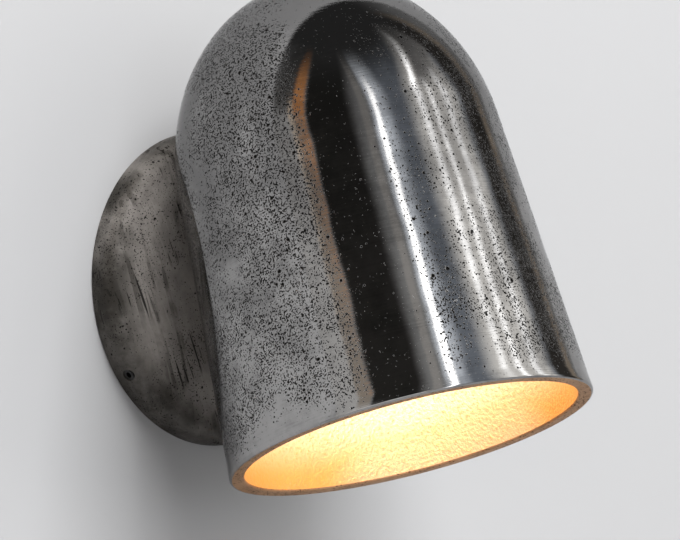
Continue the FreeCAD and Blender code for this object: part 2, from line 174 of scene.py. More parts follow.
# %% [markdown]
# ## Wiring up finishes
# A finish is a small network of nodes. The networks could be drawn by hand in the editor, but written down
# they can be read and changed. Short helpers keep them readable: some add a node or do a sum, some blend,
# measure and make noise, and the last ones raise a bump and start a new finish.

# %% Nodes and sums


def add(tree, kind, **settings):
    node = tree.nodes.new(kind)
    for name, value in settings.items():
        setattr(node, name, value)
    return node


def feed(tree, socket, value):
    """Put a number on a socket, or wire another socket to it."""
    if isinstance(value, bpy.types.NodeSocket):
        tree.links.new(value, socket)
    else:
        socket.default_value = value


def sums(tree, operation, *values):
    node = add(tree, "ShaderNodeMath", operation=operation)
    for socket, value in zip(node.inputs, values):
        feed(tree, socket, value)
    return node.outputs[0]


def times(tree, first, second):
    return sums(tree, "MULTIPLY", first, second)


def scaled(tree, value, factor, offset):
    """A value times a factor, plus an offset."""
    return sums(tree, "MULTIPLY_ADD", value, factor, offset)


def left_over(tree, share):
    """What a share leaves of 1."""
    return sums(tree, "SUBTRACT", 1.0, share)


def largest(tree, first, *others):
    for other in others:
        first = sums(tree, "MAXIMUM", first, other)
    return first


print("sums:", ", ".join(helper.__name__ for helper in (sums, times, scaled, left_over, largest)))

# %% Blends, places and noise


def blend_colour(tree, amount, first, second):
    node = add(tree, "ShaderNodeMix", data_type="RGBA")
    feed(tree, node.inputs["Factor"], amount)
    feed(tree, node.inputs[6], (*first, 1) if isinstance(first, tuple) else first)
    feed(tree, node.inputs[7], (*second, 1) if isinstance(second, tuple) else second)
    return node.outputs[2]


def step_up(tree, value, low, high):
    """0 below low, 1 above high, smooth between."""
    node = add(tree, "ShaderNodeMapRange", interpolation_type="SMOOTHSTEP")
    feed(tree, node.inputs["Value"], value)
    node.inputs["From Min"].default_value = low
    node.inputs["From Max"].default_value = high
    return node.outputs["Result"]


def along_axes(tree, coordinates):
    """X, Y and Z of a place."""
    split = add(tree, "ShaderNodeSeparateXYZ")
    tree.links.new(coordinates, split.inputs[0])
    return split.outputs


def off_axis(tree, x, y):
    """Distance from the Z axis."""
    return sums(tree, "SQRT", sums(tree, "ADD", times(tree, x, x), times(tree, y, y)))


def noise(tree, coordinates, scale, detail=2.0, roughness=0.5, stretch=(1, 1, 1)):
    mapping = add(tree, "ShaderNodeMapping")
    mapping.inputs["Scale"].default_value = stretch
    tree.links.new(coordinates, mapping.inputs["Vector"])
    node = add(tree, "ShaderNodeTexNoise")
    node.inputs["Scale"].default_value = scale
    node.inputs["Detail"].default_value = detail
    node.inputs["Roughness"].default_value = roughness
    tree.links.new(mapping.outputs[0], node.inputs["Vector"])
    return node.outputs["Fac"]


print("fields:", ", ".join(helper.__name__ for helper in (step_up, off_axis, noise)))

# %% Bumps and a new finish


def bumped(tree, height, distance, strength, below=None):
    """Surface direction over a height that rises by a distance, on top of another bump."""
    node = add(tree, "ShaderNodeBump")
    node.inputs["Strength"].default_value = strength
    node.inputs["Distance"].default_value = distance
    feed(tree, node.inputs["Height"], height)
    if below is not None:
        tree.links.new(below, node.inputs["Normal"])
    return node.outputs["Normal"]


def begin_finish(name, metallic):
    material = bpy.data.materials.new(name)
    material.use_nodes = True
    tree = material.node_tree
    shader = tree.nodes["Principled BSDF"]
    shader.inputs["Metallic"].default_value = metallic
    coordinates = add(tree, "ShaderNodeTexCoord").outputs["Object"]
    return material, tree, shader, coordinates


print("surfaces:", ", ".join(helper.__name__ for helper in (bumped, begin_finish)))

# %% [markdown]
# ## Pores and cracks
# The real castings look as if they were poured in sand and polished by hand, which opens small black pores
# and short crooked cracks. They come in drifts. An image could hold them, but a pattern worked out in space
# needs no unwrapping and stays sharp close up. Pores are spots in the cells of a Voronoi pattern: only some
# cells get one, and a slow noise decides where a drift lies. Cracks follow the middle line of a noise, which
# another noise breaks up. Both patterns are bent by a fine noise first, so that they are ragged like the real
# ones.

# %% Pores, cracks and scratches
SOFT_FROM = 0.6
SMALLEST_PORE = 0.5
PORE_SPREAD = 0.7
BREAKS_PER_CRACK = 1.7
MASK_WEIGHT = 0.3
UNBROKEN = (0.80, 0.86)
STROKE_STRETCH = (1, 0.07, 1)
STROKE_EDGE = 0.06


def ragged(tree, coordinates, scale, reach):
    """Coordinates pushed about by a fine noise."""
    stir = add(tree, "ShaderNodeTexNoise")
    stir.inputs["Scale"].default_value = scale
    tree.links.new(coordinates, stir.inputs["Vector"])
    push = add(tree, "ShaderNodeVectorMath", operation="MULTIPLY_ADD")
    tree.links.new(stir.outputs["Color"], push.inputs[0])
    push.inputs[1].default_value = (reach, reach, reach)
    tree.links.new(coordinates, push.inputs[2])
    return push.outputs[0]


def pores(tree, coordinates, scale, size, share, drift):
    """1 inside a pore: a small spot in a share of the cells, where the drift is strong."""
    cells = add(tree, "ShaderNodeTexVoronoi")
    cells.inputs["Scale"].default_value = scale
    tree.links.new(coordinates, cells.inputs["Vector"])
    split = add(tree, "ShaderNodeSeparateColor")
    tree.links.new(cells.outputs["Color"], split.inputs[0])
    own_size = scaled(tree, split.outputs[1], size * PORE_SPREAD, size * SMALLEST_PORE)
    reach = sums(tree, "DIVIDE", cells.outputs["Distance"], own_size)
    spot = left_over(tree, step_up(tree, reach, SOFT_FROM, 1.0))
    chosen = sums(tree, "LESS_THAN", split.outputs[0], times(tree, drift, share))
    return times(tree, spot, chosen)


def crevices(tree, coordinates, scale, width, where):
    """1 along short crooked strokes: the middle line of one noise, broken up by another and the mask."""
    field = noise(tree, coordinates, scale, detail=0.6)
    away = sums(tree, "ABSOLUTE", sums(tree, "SUBTRACT", field, 0.5))
    line = left_over(tree, step_up(tree, away, SOFT_FROM * width, width))
    breaks = noise(tree, coordinates, BREAKS_PER_CRACK * scale, detail=0.0)
    kept = step_up(tree, scaled(tree, where, MASK_WEIGHT, breaks), *UNBROKEN)
    return times(tree, line, kept)


def scratches(tree, coordinates, angle, scale, threshold, where):
    """1 on thin strokes along one direction across the axis, only where the mask allows."""
    mapping = add(tree, "ShaderNodeMapping")
    mapping.inputs["Rotation"].default_value = (0, 0, angle)
    tree.links.new(coordinates, mapping.inputs["Vector"])
    field = noise(tree, mapping.outputs[0], scale, detail=1.0, stretch=STROKE_STRETCH)
    stroke = step_up(tree, field, threshold, threshold + STROKE_EDGE)
    return times(tree, stroke, where)


print("marks:", ", ".join(mark.__name__ for mark in (pores, crevices, scratches)))

# %% [markdown]
# ## Where the castings are worn, and where the plate is painted darker
# On the shade, a stripe down the front, the crown and the last stretch above the mouth look polished
# longest, and the pores are almost gone there. The rest of the front has fewer of them. The plate is painted
# lighter in front and darker towards the edge and lower down, as painted shade. Such zones could be painted
# on, but here they are measured from the casting's own axis, so each casting first gets coordinates of its
# own.

# %% Worn zones and the plate's painted shade
STRIPE_HEADING = math.radians(-44)
STRIPE_REACH = math.radians(16)
CROWN_HEADING = math.radians(-20)
CROWN_REACH = math.radians(42)
FRONT_HEADING = math.radians(-25)
FRONT_REACH = math.radians(34)
FRONT_SHARE = 0.5
FRONT_HEIGHTS = (20 * MM, 50 * MM)
CROWN_HEIGHTS = (105 * MM, 135 * MM)
BAND_EDGE = (-8 * MM, 1 * MM)
BAND_WANDER = -20 * MM
EDGE_SHADE_RADII = (44.5 * MM, 60.5 * MM)
EDGE_SHADE_WANDER = 13 * MM
EDGE_SHADE_LEAN = -0.07


def casting_directions(tree, coordinates, origin, turn):
    """Coordinates along and about a casting's own axis, which becomes Z."""
    mapping = add(tree, "ShaderNodeMapping", vector_type="TEXTURE")
    mapping.inputs["Location"].default_value = origin
    mapping.inputs["Rotation"].default_value = turn
    tree.links.new(coordinates, mapping.inputs["Vector"])
    return mapping.outputs[0]


def sector(tree, x, y, heading, half_angle):
    """1 on the side that faces a heading, fading out over the second half of the angle."""
    along = times(tree, x, math.sin(heading))
    ahead = scaled(tree, y, -math.cos(heading), along)
    facing = sums(tree, "DIVIDE", ahead, off_axis(tree, x, y))
    return step_up(tree, facing, math.cos(half_angle), math.cos(0.5 * half_angle))


def worn_smooth(tree, coordinates):
    """1 where the shade was polished longest: the stripe, the crown and the band above the mouth."""
    x, y, z = along_axes(tree, coordinates)
    stripe = sector(tree, x, y, STRIPE_HEADING, STRIPE_REACH)
    crown = sector(tree, x, y, CROWN_HEADING, CROWN_REACH)
    crown = times(tree, crown, step_up(tree, z, *CROWN_HEIGHTS))
    edge = scaled(tree, noise(tree, coordinates, scale=45, detail=3.0), BAND_WANDER, z)
    band = left_over(tree, step_up(tree, edge, *BAND_EDGE))
    front = times(tree, sector(tree, x, y, FRONT_HEADING, FRONT_REACH), FRONT_SHARE)
    front = times(tree, front, step_up(tree, z, *FRONT_HEIGHTS))
    return largest(tree, stripe, crown, band, front)


def painted_edge_shade(tree, coordinates):
    """1 towards the plate's edge and lower down, where painted shade darkens it, 0 on the front."""
    # Painted shade: the mask rises towards the edge and, through the lean, lower down.
    x, y, _ = along_axes(tree, coordinates)
    rough_edge = noise(tree, coordinates, scale=50, detail=4.0, roughness=0.6)
    across = scaled(tree, rough_edge, EDGE_SHADE_WANDER, off_axis(tree, x, y))
    return step_up(tree, scaled(tree, y, EDGE_SHADE_LEAN, across), *EDGE_SHADE_RADII)


print("worn zones:", worn_smooth.__name__, painted_edge_shade.__name__)

# %% [markdown]
# ## The cast metal
# The finish itself is dark aluminium with fine lines round the axis, a slightly uneven surface and the marks
# above. One function serves the shade, its rim and the plate, and each sets its tones, gloss and share of
# pores. The shade is close to a mirror, and its tone is painted a little darker towards the top, a painted
# reflection that dims higher up. The plate was hardly polished: it has painted shade towards its edge and
# bottom, and many strokes, and it shines far less. The edge tint weakens the glare that metal shows at a flat
# angle.

# %% Pits, the plate's marks and its painted shade
DRIFT_EDGE = (0.30, 0.54)
POLISHED_AWAY = 0.97
FINE_SHARE, COARSE_SHARE = 0.75, 0.25
CRACKS_ALWAYS, CRACKS_WITH_PORES = 0.55, 0.45
STROKE_SPREAD = (0.44, 0.58)
EDGE_SHADE_DRIFT = (0.3, 0.6)
PALE_STROKE = 0.22
SMEAR_STROKE = 0.55
DARK_STROKE = 0.9
FRESH_METAL = 1.3


def pitted(tree, coordinates, pore_share, polished):
    """The mask of the drifts, and 1 inside each pore and crack."""
    stirred = ragged(tree, coordinates, scale=1500, reach=0.5 * MM)
    drift = step_up(tree, noise(tree, coordinates, scale=34, detail=5.0, roughness=0.65), *DRIFT_EDGE)
    if polished:
        drift = times(tree, drift, scaled(tree, polished(tree, coordinates), -POLISHED_AWAY, 1.0))
    fine = pores(tree, stirred, scale=960, size=0.36, share=FINE_SHARE * pore_share, drift=drift)
    coarse = pores(tree, stirred, scale=400, size=0.27, share=COARSE_SHARE * pore_share, drift=drift)
    cracked = times(tree, drift, CRACKS_ALWAYS + CRACKS_WITH_PORES * pore_share)
    cracks = crevices(tree, stirred, scale=1100, width=0.12, where=cracked)
    return drift, largest(tree, fine, coarse, cracks)


def handled(tree, coordinates, metal, fresh, cloud, shade_and_smear_tones):
    """The metal with painted shade towards the edge and bottom, strokes on it, and the mask of the deep
    strokes.
    """
    edge_shade = painted_edge_shade(tree, coordinates)
    painted_lit_front = left_over(tree, edge_shade)
    spread = step_up(tree, noise(tree, coordinates, scale=60, detail=3.0), *STROKE_SPREAD)
    dark = scratches(tree, coordinates, angle=-0.35, scale=700, threshold=0.62, where=spread)
    smear = scratches(tree, coordinates, angle=-0.25, scale=300, threshold=0.54, where=spread)
    pale = scratches(tree, coordinates, angle=-0.45, scale=1000, threshold=0.60, where=painted_lit_front)
    edge_shade_tone = blend_colour(tree, step_up(tree, cloud, *EDGE_SHADE_DRIFT), *shade_and_smear_tones)
    metal = blend_colour(tree, times(tree, pale, PALE_STROKE), metal, fresh)
    # Painted shade: the dark tone laid over the metal towards the edge and bottom.
    metal = blend_colour(tree, edge_shade, metal, edge_shade_tone)
    metal = blend_colour(tree, times(tree, smear, SMEAR_STROKE), metal, shade_and_smear_tones[1])
    return metal, times(tree, dark, DARK_STROKE)


print("strokes on the plate:", PALE_STROKE, SMEAR_STROKE, DARK_STROKE)

# %% Cast metal finish
PORE_BLACK = (0.010, 0.009, 0.008)
EDGE_TINT = 0.7
TONE_DRIFT = (0.30, 0.66)
PAINTED_FADE_FROM = 55 * MM
LINE_STRETCH = (1, 1, 45)
LINE_TONE = 0.3
DRIFT_ROUGHNESS = 0.04
PIT_ROUGHNESS = 0.4


def cast_metal(name, place, tones, metallic, gloss, lines, pore_share, painted_fade_upward=0.0, polished=None,
               shade_and_smear_tones=None):
    material, tree, shader, world_place = begin_finish(name, metallic)
    coordinates = casting_directions(tree, world_place, *place)
    drift, pit = pitted(tree, coordinates, pore_share, polished)
    cloud = noise(tree, coordinates, scale=55, detail=7.0, roughness=0.7)
    turning = noise(tree, coordinates, scale=40, detail=4.0, roughness=0.7, stretch=LINE_STRETCH)
    patchy = scaled(tree, sums(tree, "SUBTRACT", turning, 0.5), LINE_TONE, cloud)
    # Painted reflection: above a height the tone is made darker, standing in for dimmer reflections higher
    # up.
    if painted_fade_upward:
        height = sums(tree, "SUBTRACT", along_axes(tree, coordinates)[2], PAINTED_FADE_FROM)
        patchy = scaled(tree, height, painted_fade_upward, patchy)
    metal = blend_colour(tree, step_up(tree, patchy, *TONE_DRIFT), *tones)
    if shade_and_smear_tones:
        fresh = tuple(FRESH_METAL * v for v in tones[0])
        metal, strokes = handled(tree, coordinates, metal, fresh, cloud, shade_and_smear_tones)
        pit = largest(tree, pit, strokes)
    feed(tree, shader.inputs["Base Color"], blend_colour(tree, pit, metal, PORE_BLACK))
    shader.inputs["Specular Tint"].default_value = (EDGE_TINT, EDGE_TINT, EDGE_TINT, 1)
    worn = scaled(tree, drift, DRIFT_ROUGHNESS, scaled(tree, turning, lines, gloss))
    feed(tree, shader.inputs["Roughness"], scaled(tree, pit, PIT_ROUGHNESS, worn))
    dents = noise(tree, coordinates, scale=24)
    waves = noise(tree, coordinates, scale=85, detail=1.0)
    uneven = bumped(tree, dents, distance=0.8 * MM, strength=0.5)
    wavy = bumped(tree, waves, distance=0.1 * MM, strength=0.5, below=uneven)
    lined = bumped(tree, turning, distance=0.03 * MM, strength=0.5, below=wavy)
    sunk = bumped(tree, left_over(tree, pit), distance=0.2 * MM, strength=0.6, below=lined)
    feed(tree, shader.inputs["Normal"], sunk)
    return material


print("pore tone and edge tint:", PORE_BLACK, EDGE_TINT)

# %% [markdown]
# Each casting then gets its two tones, between which the metal drifts. The rim's warm tones are painted lamp
# light, standing in for the lamp's glow on the real one, and it is dull like the plate.

# %% Shade, rim and plate metal
shade_place = (mouth_centre, shade_turn.to_euler())
plate_place = (Vector((0, 0, 0)), (math.pi / 2, 0, 0))
shade_tones = ((0.385, 0.380, 0.374), (0.205, 0.202, 0.200))
# Painted lamp light: the rim's warm tones stand in for the lamp's glow on it.
rim_painted_glow_tones = ((0.58, 0.36, 0.21), (0.43, 0.26, 0.15))
plate_tones = ((0.45, 0.415, 0.385), (0.29, 0.268, 0.247))
plate_shade_and_smear_tones = ((0.095, 0.087, 0.078), (0.022, 0.019, 0.015))
shade_metal = cast_metal(
    "cast_shade_metal", shade_place, shade_tones, metallic=1.0, gloss=0.018, lines=0.040, pore_share=0.95,
    painted_fade_upward=2.4, polished=worn_smooth,
)
rim_metal = cast_metal(
    "cast_rim_metal", shade_place, rim_painted_glow_tones, metallic=1.0, gloss=0.4, lines=0.15, pore_share=0.3,
)
plate_metal = cast_metal(
    "cast_plate_metal", plate_place, plate_tones, metallic=0.3, gloss=0.38, lines=0.2, pore_share=0.17,
    shade_and_smear_tones=plate_shade_and_smear_tones,
)
print("cast finishes:", shade_metal.name, rim_metal.name, plate_metal.name)

# %% [markdown]
# ## The inside of the shade
# Nobody polishes the inside, so it keeps the grain of the sand mould. Its amber tones are painted lamp light,
# and it is painted almost white further in and on one side, a painted highlight where the lamp's light falls
# strongest. Bare metal would mirror the lamp and plain paint would look flat, so the finish is half metal.
# The grain is two sizes of noise used as height.

# %% Rough inside finish
HOT_SPOT_HEADING = math.radians(121)
HOT_SPOT_REACH = math.radians(48)
HOT_SPOT_SHARE = 0.6
PAINTED_HOT_HEIGHTS = (3 * MM, 20 * MM)
GRAIN_EDGE = (0.45, 0.80)
PAINTED_LAMP_AMBER = (0.84, 0.48, 0.15)
PAINTED_HOT_AMBER = (0.92, 0.80, 0.66)
GRAIN_PAINTED_AMBER = (0.78, 0.50, 0.22)
INSIDE_ROUGHNESS = 0.36


def rough_inside():
    material, tree, shader, world_place = begin_finish("rough_cast_inside", metallic=0.5)
    coordinates = casting_directions(tree, world_place, *shade_place)
    grain = noise(tree, coordinates, scale=900, detail=3.0, roughness=0.6)
    lumps = noise(tree, coordinates, scale=240)
    x, y, z = along_axes(tree, coordinates)
    # Painted highlight: a pale sector on one side and a pale zone deeper in stand in for the lamp's hot spot.
    painted_hot_spot = times(tree, sector(tree, x, y, HOT_SPOT_HEADING, HOT_SPOT_REACH), HOT_SPOT_SHARE)
    bright = largest(tree, step_up(tree, z, *PAINTED_HOT_HEIGHTS), painted_hot_spot)
    tone = blend_colour(tree, bright, PAINTED_LAMP_AMBER, PAINTED_HOT_AMBER)
    tone = blend_colour(tree, step_up(tree, grain, *GRAIN_EDGE), tone, GRAIN_PAINTED_AMBER)
    feed(tree, shader.inputs["Base Color"], tone)
    shader.inputs["Roughness"].default_value = INSIDE_ROUGHNESS
    coarse = bumped(tree, lumps, distance=0.7 * MM, strength=0.2)
    fine = bumped(tree, grain, distance=0.8 * MM, strength=0.5, below=coarse)
    feed(tree, shader.inputs["Normal"], fine)
    return material


inside_coat = rough_inside()
print("inside finish:", inside_coat.name)

# %% [markdown]
# ## The shade
# The side of the shade tapers a little towards the top, as a pattern must to leave the sand, and runs into
# an elliptical dome without a kink. The ellipse could be fitted by eye, but a few rounds of a search find the
# one that starts along the side. The inside is the same outline, one wall thickness in.

# %% Draw the shade's outline
mouth_radius = 60 * MM
shoulder_radius = 53.4 * MM
body_height = 97.5 * MM
dome_height = 58 * MM
shade_wall = 5 * MM
rim_round = 0.8 * MM
OUTSIDE, RIM, INSIDE = 0, 1, 2
SIDE_STEPS, DOME_STEPS, CORNER_STEPS = 24, 40, 6
FIRST_GUESS, SEARCH_ROUNDS = 0.07, 20


def bullet_outline(inset, finish):
    """Points of the shade's outline from the mouth to the top, moved in by a wall thickness."""
    draft = math.atan2(mouth_radius - shoulder_radius, body_height)
    low = mouth_radius - inset / math.cos(draft)
    shoulder = shoulder_radius - inset * math.cos(draft)
    shoulder_height = body_height - inset * math.sin(draft)
    top = body_height + dome_height - inset
    rise = top - shoulder_height
    start = FIRST_GUESS
    for _ in range(SEARCH_ROUNDS):
        across = shoulder / math.cos(start)
        upward = rise / (1 - math.sin(start))
        start = math.atan(upward / across * math.tan(draft))
    centre = top - upward
    shares = [k / SIDE_STEPS for k in range(SIDE_STEPS + 1)]
    side = [(low + (shoulder - low) * s, shoulder_height * s, finish) for s in shares]
    angles = [start + (math.pi / 2 - start) * k / DOME_STEPS for k in range(1, DOME_STEPS)]
    dome = [(across * math.cos(t), centre + upward * math.sin(t), finish) for t in angles]
    return side + dome + [(0, top, finish)]


outside = bullet_outline(0, OUTSIDE)
inside = bullet_outline(shade_wall, INSIDE)
print("outline points outside and inside:", len(outside), len(inside))

# %% [markdown]
# The flat rim joins the two outlines, with its corners rounded a little, as a file leaves them. At the back a
# flat boss outside meets the arm, a larger pad inside carries the lampholder's strap, and the leads come in
# through a hole. All of them are at the arm's height or measured from it.

# %% Turn the shade
quarter = [math.pi / 2 * k / CORNER_STEPS for k in range(CORNER_STEPS + 1)]
outer_corner = [
    (outside[0][0] - rim_round * (1 - math.cos(t)), rim_round * (1 - math.sin(t)), OUTSIDE) for t in quarter
]
inner_corner = [
    (inside[0][0] + rim_round * (1 - math.sin(t)), rim_round * (1 - math.cos(t)), RIM) for t in quarter
]
rim_start = (outer_corner[-1][0], 0, RIM)
inside_start = (*inner_corner[-1][:2], INSIDE)
shade_profile = list(reversed(outside[1:])) + outer_corner[:-1] + [rim_start] + inner_corner[:-1]
shade_profile += [inside_start] + inside[1:]
shade_skin = turned("shade_skin", shade_profile, [shade_metal, rim_metal, inside_coat])
print("profile points:", len(shade_profile))

# %% Add the bosses and the lead hole
CREASE = math.radians(40)
arm_height = 75.53 * MM
in_wall = 52 * MM
boss_half_width = 9.5 * MM
boss_face = 56.59 * MM
boss_low, boss_high = arm_height - 9.5 * MM, arm_height + 7.5 * MM
pad_half_width = 11 * MM
pad_half_height = 14 * MM
pad_face = 45.49 * MM
lead_height = arm_height - 21 * MM
lead_hole_radius = 4.5 * MM
lead_from, lead_to = 40 * MM, 70 * MM
outer_boss = block((-boss_half_width, in_wall, boss_low), (boss_half_width, boss_face, boss_high))
inner_pad = block(
    (-pad_half_width, pad_face, arm_height - pad_half_height),
    (pad_half_width, in_wall, arm_height + pad_half_height),
)
lead_hole = bar(lead_hole_radius, (0, lead_from, lead_height), (0, lead_to, lead_height))
carve(shade_skin, outer_boss, "UNION", OUTSIDE)
carve(shade_skin, inner_pad, "UNION", INSIDE)
carve(shade_skin, lead_hole, finish=INSIDE)
shade_skin.data.set_sharp_from_angle(angle=CREASE)
shade_skin.data.transform(shade_frame)
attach(shade_skin, "head")
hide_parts("shade")
print("shade faces:", len(shade_skin.data.polygons))

# %% [markdown]
# ## The wall plate
# The plate is a shallow dish with a rounded edge and a faint crown. A flattened cylinder with a bevel would
# do for the edge, but not for the crown, so it is turned like the shade, about the wall's normal. The slot
# for the arm, the hole for the leads and the side screw holes are cut after turning.

# %% Turn the plate
plate_radius = 52.5 * MM
plate_side = 4.2 * MM
plate_round = 5.8 * MM
plate_crown = 1.2 * MM
cavity_radius = 48 * MM
cavity_depth = 7 * MM
plate_flat = plate_radius - plate_round
plate_depth = plate_side + plate_round
EDGE_STEPS, CROWN_STEPS = 14, 16

edge_turns = [math.pi / 2 * k / EDGE_STEPS for k in range(EDGE_STEPS + 1)]
edge = [
    (plate_flat + plate_round * math.cos(t), plate_side + plate_round * math.sin(t), 0) for t in edge_turns
]
crown_shares = [1 - k / CROWN_STEPS for k in range(1, CROWN_STEPS + 1)]
crown = [(plate_flat * s, plate_depth + plate_crown * (1 - s * s), 0) for s in crown_shares]
dish = [(0, cavity_depth, 0), (cavity_radius, cavity_depth, 0), (cavity_radius, 0, 0), (plate_radius, 0, 0)]
plate_skin = turned("plate_skin", dish + edge + crown, [plate_metal])
print("plate depth:", round(plate_depth + plate_crown, 4))

# %% Cut the plate
slot_half_width = 8 * MM
slot_low, slot_high = -6 * MM, 7 * MM
plate_lead_height = -21 * MM
cut_from, cut_to = -1 * MM, 20 * MM
side_screw_depth = 5.6 * MM
side_screw_angle = math.radians(33.5)
side_screw_radius = 2.05 * MM
side_screw_from, side_screw_to = 45 * MM, 54 * MM
carve(plate_skin, block((-slot_half_width, slot_low, cut_from), (slot_half_width, slot_high, cut_to)))
carve(plate_skin, bar(lead_hole_radius, (0, plate_lead_height, cut_from), (0, plate_lead_height, cut_to)))
for side in (-1, 1):
    out = Vector((side * math.cos(side_screw_angle), -math.sin(side_screw_angle), 0))
    level = Vector((0, 0, side_screw_depth))
    carve(plate_skin, bar(side_screw_radius, out * side_screw_from + level, out * side_screw_to + level))
plate_skin.data.set_sharp_from_angle(angle=CREASE)
plate_skin.data.transform(Matrix.Rotation(math.pi / 2, 4, "X"))
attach(plate_skin, "plate")
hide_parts("wall_plate")
print("plate faces:", len(plate_skin.data.polygons))

# %% [markdown]
# ## The small parts
# Hinge, fasteners, lampholder and connector keep their CAD shapes, which are plain enough to be shown as
# they are. One flat colour each would look like a toy, so every finish has two tones that drift, a fine grain
# in the surface and an uneven gloss. Grain is counted per metre, and its depth is in metres.

# %% Finishes of the small parts
GLOSS_DRIFT = 0.2
WEAR_DRIFT = (0.35, 0.7)
CLOUDS_PER_GRAIN = 0.25
METAL_GRAIN = 900


def plain_finish(name, colour, worn_colour, metallic, roughness, grain, depth):
    material, tree, shader, coordinates = begin_finish(name, metallic)
    cloud = noise(tree, coordinates, grain * CLOUDS_PER_GRAIN, detail=4.0, roughness=0.6)
    fine = noise(tree, coordinates, grain)
    tone = blend_colour(tree, step_up(tree, cloud, *WEAR_DRIFT), colour, worn_colour)
    feed(tree, shader.inputs["Base Color"], tone)
    feed(tree, shader.inputs["Roughness"], scaled(tree, fine, GLOSS_DRIFT, roughness))
    feed(tree, shader.inputs["Normal"], bumped(tree, fine, distance=depth, strength=0.4))
    return material


def plain_metal(name, colour, worn_colour, roughness, depth):
    return plain_finish(name, colour, worn_colour, 1.0, roughness, METAL_GRAIN, depth)


def plain_plastic(name, colour, worn_colour, roughness, grain, depth):
    return plain_finish(name, colour, worn_colour, 0.0, roughness, grain, depth)


zinc = plain_metal("zinc_plated_steel", (0.58, 0.57, 0.53), (0.45, 0.44, 0.40), 0.25, 0.00008)
black_steel = plain_metal("blackened_steel", (0.05, 0.05, 0.05), (0.09, 0.085, 0.08), 0.35, 0.00005)
yellow_brass = plain_metal("plain_brass", (0.72, 0.52, 0.24), (0.55, 0.38, 0.17), 0.22, 0.00006)
nickel = plain_metal("nickel_plate", (0.72, 0.70, 0.66), (0.6, 0.58, 0.54), 0.18, 0.00005)
bush_rubber = plain_plastic(
    "bush_rubber", (0.022, 0.022, 0.022), (0.035, 0.034, 0.033), 0.6, 1400, 0.0001,
)
pale_plastic = plain_plastic(
    "pale_plastic", (0.80, 0.78, 0.72), (0.72, 0.70, 0.63), 0.35, 1200, 0.00006,
)
dark_plastic = plain_plastic(
    "dark_plastic", (0.025, 0.024, 0.023), (0.04, 0.038, 0.036), 0.3, 1200, 0.00006,
)
lead_sheath = plain_plastic(
    "lead_sheath", (0.72, 0.69, 0.62), (0.62, 0.59, 0.52), 0.4, 1500, 0.00005,
)
print("small finishes:", zinc.name, yellow_brass.name, pale_plastic.name, "and others")

# %% [markdown]
# ## The lit lamp
# The lamp is an opal ball that glows all over. A point light could stand in for it, but the ball itself is
# seen from below, so its surface gives the light. It is the only source inside the shade, and it lights the
# rough inside from close by.

# %% Opal finish
LAMP_STRENGTH = 8.8
LAMP_GLOW = (1.0, 0.72, 0.45, 1)
OPAL_TONES = ((0.92, 0.9, 0.86), (0.86, 0.83, 0.78))
OPAL_ROUGHNESS = 0.25


def opal_glow():
    material, tree, shader, coordinates = begin_finish("opal_glow", metallic=0.0)
    cloud = noise(tree, coordinates, scale=60)
    feed(tree, shader.inputs["Base Color"], blend_colour(tree, cloud, *OPAL_TONES))
    shader.inputs["Roughness"].default_value = OPAL_ROUGHNESS
    shader.inputs["Emission Color"].default_value = LAMP_GLOW
    shader.inputs["Emission Strength"].default_value = LAMP_STRENGTH
    return material


glow = opal_glow()
print("lamp finish:", glow.name)

# %% [markdown]
# Now every CAD piece gets its finish. Curved faces are shaded smooth, and edges that turn sharply stay crisp.

# %% Finish the CAD pieces
SMALL_CREASE = math.radians(35)
node_finish = {
    zinc: ["wall_bracket", "hinge_bracket", "hinge_screws", "hinge_pin", "pin_nut", "tilt_arm",
           "arm_washer", "arm_nut", "holder_bracket", "holder_nut", "friction_washers"],
    black_steel: ["grub_screws"],
    yellow_brass: ["earth_screw", "earth_washer", "holder_nipple", "lampholder_shell", "lampholder_contact",
                   "terminal_screws", "lamp_tip"],
    bush_rubber: ["cable_grommet", "plate_bush", "lead_bush"],
    pale_plastic: ["terminal_block", "lamp_collar"],
    dark_plastic: ["lampholder_body", "lamp_insulator"],
    lead_sheath: ["holder_leads"],
    nickel: ["lamp_cap"],
    glow: ["lamp_globe"],
}
for finish, names in node_finish.items():
    for name in names:
        mesh = frame["nodes"][name].data
        mesh.materials.clear()
        mesh.materials.append(finish)
        mesh.shade_smooth()
        mesh.set_sharp_from_angle(angle=SMALL_CREASE)
print("finished CAD nodes:", sum(len(names) for names in node_finish.values()))

# %% [markdown]
# ## Wall and floor
# The light hangs on a pale wall. A solid wall would hide the back of the plate, so the paint shows only on
# its front and the wall is seen through from behind. It is also open behind the plate, as over a wall box,
# and light gets into the plate's hollow there. A pale floor lies well below.

# %% Paint
WALL_TONE = (0.385, 0.385, 0.39)
WALL_DRIFT = 0.985
WALL_ROUGHNESS = 0.9


def wall_paint(name):
    """Pale matt paint that only its front shows."""
    material, tree, shader, coordinates = begin_finish(name, metallic=0.0)
    cloud = noise(tree, coordinates, scale=6)
    darker = tuple(WALL_DRIFT * v for v in WALL_TONE)
    feed(tree, shader.inputs["Base Color"], blend_colour(tree, cloud, WALL_TONE, darker))
    shader.inputs["Roughness"].default_value = WALL_ROUGHNESS
    clear = add(tree, "ShaderNodeBsdfTransparent")
    choose = add(tree, "ShaderNodeMixShader")
    tree.links.new(add(tree, "ShaderNodeNewGeometry").outputs["Backfacing"], choose.inputs[0])
    tree.links.new(shader.outputs[0], choose.inputs[1])
    tree.links.new(clear.outputs[0], choose.inputs[2])
    tree.links.new(choose.outputs[0], tree.nodes["Material Output"].inputs["Surface"])
    return material


paint = wall_paint("pale_wall_paint")
print("paint:", paint.name)

# %% Build the stage
half = 3.0
wall_y = 0.0004
wall_top = 0.5
floor_z = -1.2
hole_radius = 0.051
HOLE_QUARTER = 12
HOLE_START = math.radians(225)


